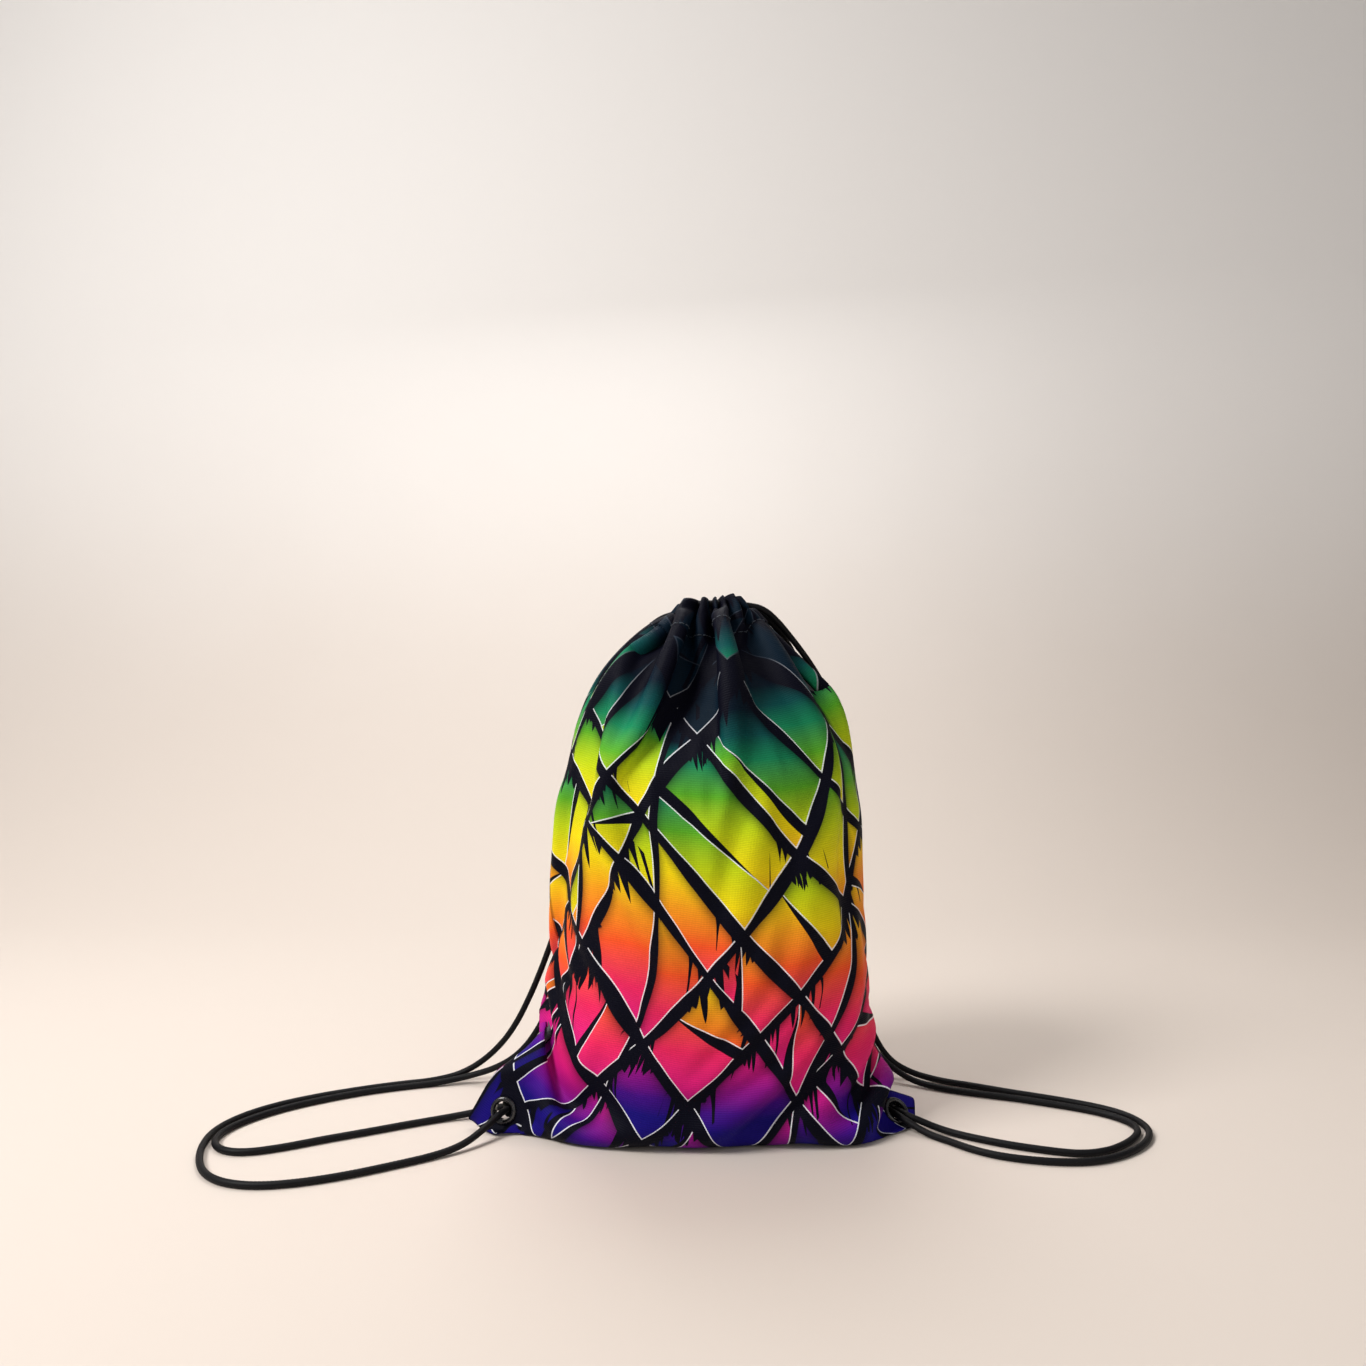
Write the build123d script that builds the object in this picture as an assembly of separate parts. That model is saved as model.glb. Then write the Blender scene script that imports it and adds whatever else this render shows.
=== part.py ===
from build123d import *
import os
from math import atan2, cos, degrees, pi, radians, sin, tan

# Drawstring gym sack, standing upright and filled out, with its mouth drawn shut.
# Frame: +X to the bag's right, +Y to its back, +Z up. The origin is the middle of
# the footprint, on the surface that the bag stands on. Millimetres.

# ---- driving dimensions --------------------------------------------------------
BAG_HEIGHT = 398.0            # floor to the top of the gathered mouth
PANEL_TOP = 370.0             # where the panels meet the hem channel
WALL = 1.3                    # panel cloth with its creases
NECK_X = 15.0                 # the mouth sits a little right of the middle

# Outline of the filled bag: height, half width, half depth, centre in X.
BODY_SECTIONS = [
    (0, 112, 60, 12),
    (14, 126, 71, 12),
    (50, 130, 76, 12),
    (120, 123, 77, 12),
    (200, 117, 77, 12.5),
    (270, 112, 75, 13),
    (310, 100, 69, 13),
    (345, 76, 61, 13),
    (PANEL_TOP, 52, 52, NECK_X),
]

MOUTH_RADIUS = 10.5           # hole left in the middle of the drawn-up mouth
HEM_SHOULDER_RADIUS = 39.0    # where the hem turns from its lower slope to its upper one
HEM_SHOULDER_Z = 383.5
HEM_THICKNESS = 5.0           # gathered cloth at the hem's lower edge
TUNNEL_INNER = 14.0           # hem tunnel, measured from the mouth's axis
TUNNEL_OUTER = 20.4
TUNNEL_BOTTOM = 381.3
TUNNEL_TOP = 393.0
GAP_HALF_ANGLE = 34.0         # half width of the openings where the cords leave the hem
LEFT_GAP_ANGLE = 152.0        # their directions, counter-clockwise from +X
RIGHT_GAP_ANGLE = 6.0

SEAM_ALLOWANCE = 8.0          # overlocked edge turned to the inside
SEAM_THICKNESS = 2.4

STITCH_PITCH = 6.0            # hem stitches, one visible thread each
STITCH_LENGTH = 3.6
THREAD_RADIUS = 0.35

TAB_THICKNESS = 2.4           # both panels' corner cloth, laid flat together
TAB_HOLE_RADIUS = 6.95
EYELET_BORE_RADIUS = 6.4      # two cords pass side by side
EYELET_BARREL_RADIUS = 6.9
EYELET_FLANGE_RADIUS = 10.0
EYELET_FLANGE_HEIGHT = 1.6
EYELET_LIP_RADIUS = 7.9
WASHER_RADIUS = 9.6
WASHER_THICKNESS = 0.8

CORD_DIAMETER = 5.0
CORD_RADIUS = CORD_DIAMETER / 2
FLOOR_Z = CORD_RADIUS + 0.1   # centre height of a cord that lies on the floor
LEFT_RING_Z = 384.3           # the two cords run round the tunnel one above the other
RIGHT_RING_Z = 390.0
RING_CORNER_RADIUS = 18.3     # corners of the cord's ring before they are rounded
KNOT_RADIUS = 7.2
KNOT_FLATTENING = 0.86
KNOT_TAIL_LENGTH = 16.0
RING_STEP = 45                # turn from one corner of the ring to the next
RING_HALF_OPENING = 45        # from the gap's direction to the ring's first corner
EXIT_BORE_RADIUS = 3.3        # widened tunnel mouth around each leaving cord
EXIT_BORE_LENGTH = 12.0
EXIT_BORE_OVERLAP = 4.0       # how far it starts inside the tunnel
CLEARANCE = 0.05              # gap between metal and cloth
LIP_THICKNESS = 0.5
FAR = 500.0                   # beyond the bag in every direction

# Centre, outward normal of each corner tab at its eyelet.
LEFT_EYELET = (-139, -35, 15)
LEFT_NORMAL = (-0.2, -0.96, 0.18)
RIGHT_EYELET = (152, -23, 9.5)
RIGHT_NORMAL = (0.3, -0.65, 0.7)

LEFT_KNOT = (-135, -22.5, 13)
RIGHT_KNOT = (147, -8.5, 7.6)


# ---- shared helpers ------------------------------------------------------------
def body_solid(inset):
    """The filled bag as a solid, drawn in by inset, always up to the panels' top."""
    sections = []
    for height, half_width, half_depth, centre in BODY_SECTIONS:
        level = max(height, inset)
        ellipse = Ellipse(half_width - inset, half_depth - inset)
        sections.append(Pos(centre, 0, level) * ellipse)
    return loft(sections)


def half_space(side):
    """A block that covers everything in front of (-1) or behind (+1) the side seams."""
    return Pos(0, side * FAR / 2, 0) * Box(2 * FAR, FAR, 2 * FAR)


def ring_corners(first_angle, step, height):
    """Seven corners of a cord's turn round the hem tunnel, from one side of its gap."""
    corners = []
    for index in range(7):
        angle = radians(first_angle + step * index)
        x = NECK_X + RING_CORNER_RADIUS * cos(angle)
        y = RING_CORNER_RADIUS * sin(angle)
        corners.append((x, y, height))
    return corners


def save(shape, node):
    export_step(shape, f"parts/{node}.step")


# ---- panels --------------------------------------------------------------------
body_outer = body_solid(0)
body_inner = body_solid(WALL)
shell = body_outer - body_inner

front_panel = shell & half_space(-1)
back_panel = shell & half_space(1)


def seam_strip(inner_x, outer_x, bottom, top):
    """Turned-in, overlocked seam edge between two X limits and two heights."""
    ring = body_inner - body_solid(WALL + SEAM_ALLOWANCE)
    middle = (inner_x + outer_x) / 2
    block = Box(abs(outer_x - inner_x), SEAM_THICKNESS, top - bottom)
    return ring & (Pos(middle, 0, (bottom + top) / 2) * block)


SEAM_SPLIT_HEIGHT = 12.0      # bottom edge below, side edges above
SEAM_TOP = PANEL_TOP - 4
left_seam_overlock = seam_strip(NECK_X, -200, SEAM_SPLIT_HEIGHT, SEAM_TOP)
right_seam_overlock = seam_strip(NECK_X, 220, SEAM_SPLIT_HEIGHT, SEAM_TOP)
bottom_seam_overlock = seam_strip(-200, 220, 0, SEAM_SPLIT_HEIGHT - 0.2)


# ---- hem channel ---------------------------------------------------------------
def neck_wedge(angle):
    """Wedge of the cord opening at one side of the mouth, in the given direction."""
    reach = 80
    spread = reach * tan(radians(GAP_HALF_ANGLE))
    outline = Polyline((0, 0), (reach, spread), (reach, -spread), close=True)
    wedge = extrude(make_face(outline), amount=60)
    return Pos(NECK_X, 0, PANEL_TOP) * Rot(0, 0, angle) * wedge


def hem_channel():
    """Gathered, doubled hem: it slopes in to the mouth and holds a tunnel."""
    neck = BODY_SECTIONS[-1][1]
    outline = Polyline(
        (neck, PANEL_TOP),
        (HEM_SHOULDER_RADIUS, HEM_SHOULDER_Z),
        (26, 396),
        (18, BAG_HEIGHT),
        (11.5, 396),
        (MOUTH_RADIUS, 383),
        (neck - HEM_THICKNESS, PANEL_TOP),
        close=True,
    )
    tunnel = Polyline(
        (TUNNEL_INNER, TUNNEL_BOTTOM),
        (TUNNEL_OUTER, TUNNEL_BOTTOM),
        (TUNNEL_OUTER, TUNNEL_TOP),
        (TUNNEL_INNER, TUNNEL_TOP),
        close=True,
    )
    section = make_face(outline) - make_face(tunnel)
    ring = revolve(Plane.XZ * section, axis=Axis.Z)
    ring = Pos(NECK_X, 0, 0) * ring
    ring = ring - neck_wedge(LEFT_GAP_ANGLE) - neck_wedge(RIGHT_GAP_ANGLE)
    for corners in (left_ring, right_ring):
        ring = ring - exit_bore(corners[1], corners[0]) - exit_bore(corners[-2], corners[-1])
    return ring


def exit_bore(inner_corner, outer_corner):
    """Widened mouth of the tunnel where a cord straightens out towards its gap."""
    axis = Vector(*outer_corner) - Vector(*inner_corner)
    start = Plane(origin=outer_corner, z_dir=axis.normalized())
    return extrude(start.offset(-EXIT_BORE_OVERLAP) * Circle(EXIT_BORE_RADIUS), amount=EXIT_BORE_LENGTH)


left_ring = ring_corners(LEFT_GAP_ANGLE + RING_HALF_OPENING, RING_STEP, LEFT_RING_Z)
right_ring = ring_corners(RIGHT_GAP_ANGLE - RING_HALF_OPENING, -RING_STEP, RIGHT_RING_Z)
hem_halves = hem_channel().solids()
back_hem_channel = max(hem_halves, key=lambda solid: solid.center().Y)
front_hem_channel = min(hem_halves, key=lambda solid: solid.center().Y)


def channel_stitching(first_angle, last_angle):
    """Row of threads along the hem's lower edge, standing just clear of the cloth."""
    row_radius = 50.2
    row_height = 374.2
    neck = BODY_SECTIONS[-1][1]
    slope = degrees(atan2(HEM_SHOULDER_Z - PANEL_TOP, neck - HEM_SHOULDER_RADIUS))
    step = degrees(STITCH_PITCH / row_radius)
    count = int((last_angle - first_angle) / step)
    start = (first_angle + last_angle - step * (count - 1)) / 2
    threads = []
    for index in range(count):
        around = Pos(NECK_X, 0, row_height) * Rot(0, 0, start + index * step)
        across = Pos(row_radius, 0, 0) * Rot(0, slope, 0) * Rot(90, 0, 0)
        threads.append(around * across * Cylinder(THREAD_RADIUS, STITCH_LENGTH))
    return Compound(children=threads)


front_channel_stitching = channel_stitching(
    LEFT_GAP_ANGLE + GAP_HALF_ANGLE, 360 + RIGHT_GAP_ANGLE - GAP_HALF_ANGLE)
back_channel_stitching = channel_stitching(
    RIGHT_GAP_ANGLE + GAP_HALF_ANGLE, LEFT_GAP_ANGLE - GAP_HALF_ANGLE)


# ---- corner tabs, eyelets and washers ------------------------------------------
def tab_plane(centre, normal):
    """Plane of a corner tab: local X runs level along the tab, local Y up it."""
    level = Vector(-normal[1], normal[0], 0).normalized()
    return Plane(origin=centre, x_dir=level, z_dir=normal)


def corner_tab(plane, outline, tip_corners):
    """Flat corner of the bag, cut to the filled body, with its eyelet hole."""
    face = make_face(Polyline(*outline, close=True))
    tips = [vertex for vertex in face.vertices() if any(
        (Vector(vertex) - Vector(*corner, 0)).length < 0.01 for corner in tip_corners)]
    face = fillet(tips, radius=3.0)
    plate = extrude(face, amount=TAB_THICKNESS / 2, both=True)
    plate -= Cylinder(TAB_HOLE_RADIUS, TAB_THICKNESS * 2)
    tab = (plane * plate) - body_outer
    return max(tab.solids(), key=lambda solid: solid.volume)


def eyelet(plane):
    """Rolled grommet: domed flange in front, barrel, and a lip over the washer."""
    front = TAB_THICKNESS / 2 + CLEARANCE
    crown = front + EYELET_FLANGE_HEIGHT
    back = -TAB_THICKNESS / 2 - WASHER_THICKNESS - 2 * CLEARANCE
    middle = (EYELET_BORE_RADIUS + EYELET_FLANGE_RADIUS) / 2
    dome = ThreePointArc(
        (EYELET_BORE_RADIUS, front),
        (middle, crown),
        (EYELET_FLANGE_RADIUS, front),
    )
    rest = Polyline(
        (EYELET_FLANGE_RADIUS, front),
        (EYELET_BARREL_RADIUS, front),
        (EYELET_BARREL_RADIUS, back),
        (EYELET_LIP_RADIUS, back),
        (EYELET_LIP_RADIUS, back - LIP_THICKNESS),
        (EYELET_BORE_RADIUS, back - LIP_THICKNESS),
        (EYELET_BORE_RADIUS, front),
    )
    section = make_face(Curve() + [dome, rest])
    return plane * revolve(Plane.XZ * section, axis=Axis.Z)


def washer(plane):
    """Flat ring behind the tab, held under the grommet's lip."""
    top = -TAB_THICKNESS / 2 - CLEARANCE
    ring = Cylinder(WASHER_RADIUS, WASHER_THICKNESS) - Cylinder(TAB_HOLE_RADIUS, WASHER_THICKNESS * 2)
    return plane * (Pos(0, 0, top - WASHER_THICKNESS / 2) * ring)


left_plane = tab_plane(LEFT_EYELET, LEFT_NORMAL)
right_plane = tab_plane(RIGHT_EYELET, RIGHT_NORMAL)

LEFT_TAB_OUTLINE = [
    (-30, -10),
    (-12, -14.4),
    (64, -14.4),
    (64, 50),
    (18, 46),
    (-10, 28),
    (-29, -2),
]
RIGHT_TAB_OUTLINE = [
    (6, -12.4),
    (15, -6),
    (20.5, 5),
    (18.5, 9.5),
    (-4, 24.5),
    (-34, 30),
    (-34, -12.4),
]
left_corner_tab = corner_tab(left_plane, LEFT_TAB_OUTLINE, [(-30, -10), (-29, -2)])
right_corner_tab = corner_tab(right_plane, RIGHT_TAB_OUTLINE, [(20.5, 5), (18.5, 9.5)])


# ---- drawcords and knots -------------------------------------------------------
def corner_radii(points):
    """Arc radius at each inner point: 0.45 of the shorter run over tan(half the turn)."""
    radii = []
    for before, here, after in zip(points, points[1:], points[2:]):
        run_in = Vector(*here) - Vector(*before)
        run_out = Vector(*after) - Vector(*here)
        shorter = min(run_in.length, run_out.length)
        half_turn = radians(run_in.get_angle(run_out)) / 2
        radii.append(0.45 * shorter / tan(half_turn))
    return radii


def cord_tube(name, points):
    """Round cord along straight runs joined by tangent arcs."""
    radii = corner_radii(points)
    path = FilletPolyline(*points, radius=radii)
    start = Plane(origin=path @ 0, z_dir=path % 0)
    tube = sweep(start * Circle(CORD_RADIUS), path=path)
    expected = pi * CORD_RADIUS**2 * path.length
    print(name, "length", round(path.length), "volume ratio", round(tube.volume / expected, 4))
    print("  radii", [round(radius, 1) for radius in radii])
    return tube


def knot(centre, tail_directions, cord):
    """Overhand knot as a flattened ball with two cut tails and sockets for the cord."""
    ball = Pos(*centre) * scale(Sphere(KNOT_RADIUS), by=(1, 1, KNOT_FLATTENING))
    for direction in tail_directions:
        tail_length = KNOT_RADIUS + KNOT_TAIL_LENGTH
        tail = extrude(Plane(origin=centre, z_dir=direction) * Circle(CORD_RADIUS), amount=tail_length)
        ball += tail
    return ball - cord


# Each cord is one piece. It runs from the knot through the eyelet, out along the
# floor, up the back to the mouth, once round the hem tunnel, and the same way back.
LEFT_CORD_OUTGOING = [
    (-136, -25.5, 13.5),
    (-139.2, -36, 14.8),
    (-144, -47, 13.4),
    (-151, -58, 9.5),
    (-162, -70, 4.6),
    (-178, -81.5, FLOOR_Z),
    (-201, -95, FLOOR_Z),
    (-229, -110, FLOOR_Z),
    (-257, -121, FLOOR_Z),
    (-284, -126, FLOOR_Z),
    (-308, -122, FLOOR_Z),
    (-327, -109, FLOOR_Z),
    (-340, -88, FLOOR_Z),
    (-348, -65, FLOOR_Z),
    (-350.5, -42, FLOOR_Z),
    (-343, -19, FLOOR_Z),
    (-325, 3, FLOOR_Z),
    (-299, 21, FLOOR_Z),
    (-269, 36, FLOOR_Z),
    (-239, 48, FLOOR_Z),
    (-213, 55, FLOOR_Z),
    (-190, 62, 6),
    (-168, 61, 20),
    (-147, 54, 44),
    (-129, 49, 80),
    (-113, 47.5, 122),
    (-98, 51.5, 168),
    (-84, 57, 216),
    (-71, 61.5, 262),
    (-60, 62.5, 301),
    (-52.5, 57, 334),
    (-45, 44, 357),
    (-36, 30.5, 373),
    (-23, 18, 382),
    (-9, 8.5, LEFT_RING_Z),
]
LEFT_CORD_RETURN = [
    (-7.5, 16, LEFT_RING_Z),
    (-19.5, 24.5, 382),
    (-29, 37, 371),
    (-35.5, 51, 353),
    (-41, 63, 329),
    (-47, 70, 298),
    (-56, 71.5, 260),
    (-67, 67.5, 216),
    (-80, 60, 170),
    (-94, 51.5, 124),
    (-109, 45, 82),
    (-124, 43, 49),
    (-140, 46, 28),
    (-159, 51, 15),
    (-182, 56, 6.5),
    (-208, 50, FLOOR_Z),
    (-236, 42, FLOOR_Z),
    (-264, 31, FLOOR_Z),
    (-291, 16, FLOOR_Z),
    (-315, -1, FLOOR_Z),
    (-334, -22, FLOOR_Z),
    (-343.5, -43, FLOOR_Z),
    (-342, -61, FLOOR_Z),
    (-331, -73.5, FLOOR_Z),
    (-314, -77.5, FLOOR_Z),
    (-291, -70, FLOOR_Z),
    (-265, -56, FLOOR_Z),
    (-238, -43.5, FLOOR_Z),
    (-210, -29.5, FLOOR_Z),
    (-184, -18, FLOOR_Z),
    (-163, -13.5, 5),
    (-149, -16, 9.5),
    (-137.7, -20.9, 12.4),
]
RIGHT_CORD_OUTGOING = [
    (145.6, -12.6, 8),
    (149.6, -24.1, 9.5),
    (154, -34.5, 9.6),
    (162.5, -42, 6),
    (172.5, -49, FLOOR_Z),
    (183, -58.5, FLOOR_Z),
    (194, -70.5, FLOOR_Z),
    (209, -81, FLOOR_Z),
    (229, -88, FLOOR_Z),
    (252, -92, FLOOR_Z),
    (275, -91, FLOOR_Z),
    (297, -82, FLOOR_Z),
    (315.5, -69, FLOOR_Z),
    (329, -53.5, FLOOR_Z),
    (335.5, -37, FLOOR_Z),
    (333, -20, FLOOR_Z),
    (322.5, -5, FLOOR_Z),
    (305, 7, FLOOR_Z),
    (282, 19, FLOOR_Z),
    (255, 31, FLOOR_Z),
    (229, 44.5, FLOOR_Z),
    (204, 55.5, FLOOR_Z),
    (182, 66, 5.5),
    (164, 72, 15),
    (149, 74.5, 42),
    (139, 74, 80),
    (132, 71, 126),
    (127, 66, 174),
    (123.5, 59.5, 220),
    (120, 51.5, 262),
    (115.5, 43, 298),
    (107.5, 35.5, 325),
    (95, 28, 345),
    (80, 18.5, 363.5),
    (65.5, 8.5, 379.5),
    (54, 1.5, 388),
    (41, -0.5, RIGHT_RING_Z),
]
RIGHT_CORD_RETURN = [
    (42, 6.4, RIGHT_RING_Z),
    (57, 11, 382),
    (69, 20, 371.5),
    (82, 31, 353),
    (94, 42, 327),
    (102, 52, 294),
    (107, 60, 254),
    (110.5, 66, 210),
    (114, 70.5, 164),
    (119, 73.5, 118),
    (128, 73.5, 76),
    (140, 71, 42),
    (154, 66.5, 21.5),
    (168, 59.5, 10),
    (182.5, 49.5, 4),
    (201, 39, FLOOR_Z),
    (226, 28.5, FLOOR_Z),
    (253, 19.5, FLOOR_Z),
    (279, 8, FLOOR_Z),
    (299, -1.5, FLOOR_Z),
    (315, -12, FLOOR_Z),
    (325.5, -25, FLOOR_Z),
    (327.5, -38.5, FLOOR_Z),
    (320, -51.5, FLOOR_Z),
    (307, -64, FLOOR_Z),
    (290, -75, FLOOR_Z),
    (270, -79.5, FLOOR_Z),
    (249, -74, FLOOR_Z),
    (227, -66, FLOOR_Z),
    (208, -56.5, FLOOR_Z),
    (192, -47, FLOOR_Z),
    (179, -39.5, 4),
    (168, -36, 7.5),
    (158.5, -31, 10),
    (154.4, -21.9, 9.5),
    (150.4, -10.4, 8),
]
left_drawcord = cord_tube("left_drawcord", LEFT_CORD_OUTGOING + left_ring + LEFT_CORD_RETURN)
right_drawcord = cord_tube("right_drawcord", RIGHT_CORD_OUTGOING + right_ring + RIGHT_CORD_RETURN)

left_knot = knot(LEFT_KNOT, [(0.35, 0.85, -0.2), (-0.3, 0.9, 0.25)], left_drawcord)
right_knot = knot(RIGHT_KNOT, [(0.25, 0.95, -0.1), (0.85, 0.5, -0.12)], right_drawcord)


# ---- one STEP for each piece ---------------------------------------------------
os.makedirs("parts", exist_ok=True)
save(front_panel, "front_panel")
save(back_panel, "back_panel")
save(left_seam_overlock, "left_seam_overlock")
save(right_seam_overlock, "right_seam_overlock")
save(bottom_seam_overlock, "bottom_seam_overlock")
save(front_hem_channel, "front_hem_channel")
save(back_hem_channel, "back_hem_channel")
save(front_channel_stitching, "front_channel_stitching")
save(back_channel_stitching, "back_channel_stitching")
save(left_corner_tab, "left_corner_tab")
save(right_corner_tab, "right_corner_tab")
save(eyelet(left_plane), "left_eyelet")
save(eyelet(right_plane), "right_eyelet")
save(washer(left_plane), "left_eyelet_washer")
save(washer(right_plane), "right_eyelet_washer")
save(left_drawcord, "left_drawcord")
save(right_drawcord, "right_drawcord")
save(left_knot, "left_knot")
save(right_knot, "right_knot")
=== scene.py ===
import bpy
import math
import numpy as np
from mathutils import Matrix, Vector


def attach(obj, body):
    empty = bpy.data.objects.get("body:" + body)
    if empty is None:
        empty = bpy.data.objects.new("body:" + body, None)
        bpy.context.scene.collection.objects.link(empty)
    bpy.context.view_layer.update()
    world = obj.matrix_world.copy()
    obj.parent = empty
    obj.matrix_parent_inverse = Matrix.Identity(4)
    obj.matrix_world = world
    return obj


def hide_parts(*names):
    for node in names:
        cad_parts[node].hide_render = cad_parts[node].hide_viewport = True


# Drawstring gym sack, standing filled, with its two doubled drawcords on the floor.
# Metres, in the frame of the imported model: +X right, +Y back, +Z up.

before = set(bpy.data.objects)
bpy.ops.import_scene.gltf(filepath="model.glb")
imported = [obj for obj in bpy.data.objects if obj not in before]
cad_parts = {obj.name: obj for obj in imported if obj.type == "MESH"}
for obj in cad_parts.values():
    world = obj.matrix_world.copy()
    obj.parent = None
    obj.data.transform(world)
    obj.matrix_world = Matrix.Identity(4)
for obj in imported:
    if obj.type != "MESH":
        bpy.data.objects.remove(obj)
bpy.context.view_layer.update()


# ---- camera, lights and floor
def make_camera():
    data = bpy.data.cameras.new("camera")
    data.sensor_width = 36.0
    data.lens = 27.7
    camera = bpy.data.objects.new("camera", data)
    camera.location = (-0.007, -0.81, 0.33)
    camera.rotation_euler = (math.radians(90), 0, 0)
    bpy.context.scene.collection.objects.link(camera)
    bpy.context.scene.camera = camera


def area_light(name, place, aim, size, power, colour):
    data = bpy.data.lights.new(name, "AREA")
    data.size = size
    data.energy = power
    data.color = colour
    light = bpy.data.objects.new(name, data)
    light.location = place
    direction = Vector(aim) - Vector(place)
    light.rotation_euler = direction.to_track_quat("-Z", "Y").to_euler()
    bpy.context.scene.collection.objects.link(light)


def make_mesh(name, points, faces, body="root"):
    mesh = bpy.data.meshes.new(name)
    mesh.from_pydata([tuple(p) for p in points], [], [tuple(f) for f in faces])
    mesh.polygons.foreach_set("use_smooth", [True] * len(mesh.polygons))
    mesh.update()
    piece = bpy.data.objects.new(name, mesh)
    bpy.context.scene.collection.objects.link(piece)
    if body:
        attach(piece, body)
    return piece


def make_floor():
    """Seamless pale sweep: a floor that curves up into a wall behind the object."""
    front, back, bend, top, half = -2.5, 1.5, 0.9, 4.0, 4.0
    profile = [(front, 0.0), (back - bend, 0.0)]
    bend_steps = 16
    for step in range(1, bend_steps + 1):
        angle = math.radians(90 * step / bend_steps)
        profile.append((back - bend + bend * math.sin(angle), bend - bend * math.cos(angle)))
    profile.append((back, top))
    points = [(x, y, z) for y, z in profile for x in (-half, half)]
    faces = [(2 * i, 2 * i + 1, 2 * i + 3, 2 * i + 2) for i in range(len(profile) - 1)]
    floor = make_mesh("studio_sweep", points, faces, body=None)
    floor.data.materials.append(sweep_material())


# ---- node materials
def plug(tree, value, socket):
    """Links a number or an output to an input, or writes a constant on it."""
    if isinstance(value, Value):
        value = value.socket
    if isinstance(value, bpy.types.NodeSocket):
        tree.links.new(value, socket)
    else:
        socket.default_value = value


class Value:
    """A number in a node material; arithmetic on it adds Math nodes."""

    def __init__(self, tree, socket):
        self.tree, self.socket = tree, socket

    def op(self, kind, *others, clamp=False):
        node = self.tree.nodes.new("ShaderNodeMath")
        node.operation = kind
        node.use_clamp = clamp
        for slot, value in enumerate((self,) + others):
            plug(self.tree, value, node.inputs[slot])
        return Value(self.tree, node.outputs[0])

    def clamped(self):
        return self.op("ADD", 0.0, clamp=True)

    def smooth(self, low, high):
        """0 below low, 1 above high, with a smooth step between."""
        node = self.tree.nodes.new("ShaderNodeMapRange")
        node.interpolation_type = "SMOOTHSTEP"
        for name, value in (("Value", self), ("From Min", low), ("From Max", high)):
            plug(self.tree, value, node.inputs[name])
        return Value(self.tree, node.outputs["Result"])

    def band(self, half_width, soft):
        """1 where the value lies within half a width of 0, with a soft edge."""
        return (self.abs() * -1.0 + half_width).smooth(0.0, soft)


def math_call(kind):
    return lambda value, *others: value.op(kind, *others)


MATH_CALLS = {
    "__add__": "ADD", "__radd__": "ADD", "__sub__": "SUBTRACT", "__mul__": "MULTIPLY",
    "__truediv__": "DIVIDE", "floor": "FLOOR", "fract": "FRACT", "abs": "ABSOLUTE", "sin": "SINE",
    "cos": "COSINE", "max": "MAXIMUM", "min": "MINIMUM", "power": "POWER",
    "above": "GREATER_THAN", "below": "LESS_THAN",
}
for call, kind in MATH_CALLS.items():
    setattr(Value, call, math_call(kind))


class Material:
    """A node material with a Principled shader and short calls for its nodes."""

    def __init__(self, name, **sockets):
        self.material = bpy.data.materials.new(name)
        self.material.use_nodes = True
        self.tree = self.material.node_tree
        self.shader = self.tree.nodes["Principled BSDF"]
        for socket, value in sockets.items():
            self.shader.inputs[socket.replace("_", " ")].default_value = value

    def node(self, kind, **inputs):
        """A new node with its inputs linked or set."""
        node = self.tree.nodes.new("ShaderNode" + kind)
        for name, value in inputs.items():
            plug(self.tree, value, node.inputs[name])
        return node

    def attribute(self, name):
        node = self.node("Attribute")
        node.attribute_name = name
        return Value(self.tree, node.outputs["Fac"])

    def object_point(self):
        return self.node("TexCoord").outputs["Object"]

    def part(self, vector, axis):
        """One of the three numbers in a vector."""
        return Value(self.tree, self.node("SeparateXYZ", Vector=vector).outputs[axis])

    def flat_place(self, layer):
        """Where a point lies on the flat cut cloth, in millimetres across and up."""
        cut = self.node("UVMap")
        cut.uv_map = layer
        return [self.part(cut.outputs[0], axis) * 1000.0 for axis in (0, 1)]

    def vector(self, x, y, z=0.0):
        return self.node("CombineXYZ", X=x, Y=y, Z=z).outputs[0]

    def noise(self, vector, scale, detail=2.0, rough=0.5):
        node = self.node("TexNoise", Vector=vector, Scale=scale, Detail=detail, Roughness=rough)
        return Value(self.tree, node.outputs["Fac"])

    def random(self, *parts):
        """The same random number wherever the two or three parts are the same."""
        node = self.node("TexWhiteNoise", Vector=self.vector(*parts))
        return Value(self.tree, node.outputs["Value"])

    def ramp(self, value, stops, interpolation="EASE"):
        node = self.node("ValToRGB", Fac=value)
        node.color_ramp.interpolation = interpolation
        elements = node.color_ramp.elements
        for index, (place, colour) in enumerate(stops):
            element = elements[index] if index < 2 else elements.new(place)
            element.position = place
            element.color = (*colour, 1.0)
        return node.outputs["Color"]

    def mix(self, factor, first, second, blend="MIX"):
        node = self.node("Mix")
        node.data_type = "RGBA"
        node.blend_type = blend
        for name, value in (("Factor_Float", factor), ("A_Color", first), ("B_Color", second)):
            socket = next(s for s in node.inputs if s.identifier == name)
            plug(self.tree, (*value, 1.0) if isinstance(value, tuple) else value, socket)
        return next(s for s in node.outputs if s.identifier == "Result_Color")

    def set(self, socket, value):
        plug(self.tree, value, self.shader.inputs[socket])

    def bump(self, height, distance, strength=1.0, before=None):
        node = self.node("Bump", Height=height, Distance=distance, Strength=strength)
        if before:
            plug(self.tree, before, node.inputs["Normal"])
        self.set("Normal", node.outputs["Normal"])
        return node.outputs["Normal"]


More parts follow.
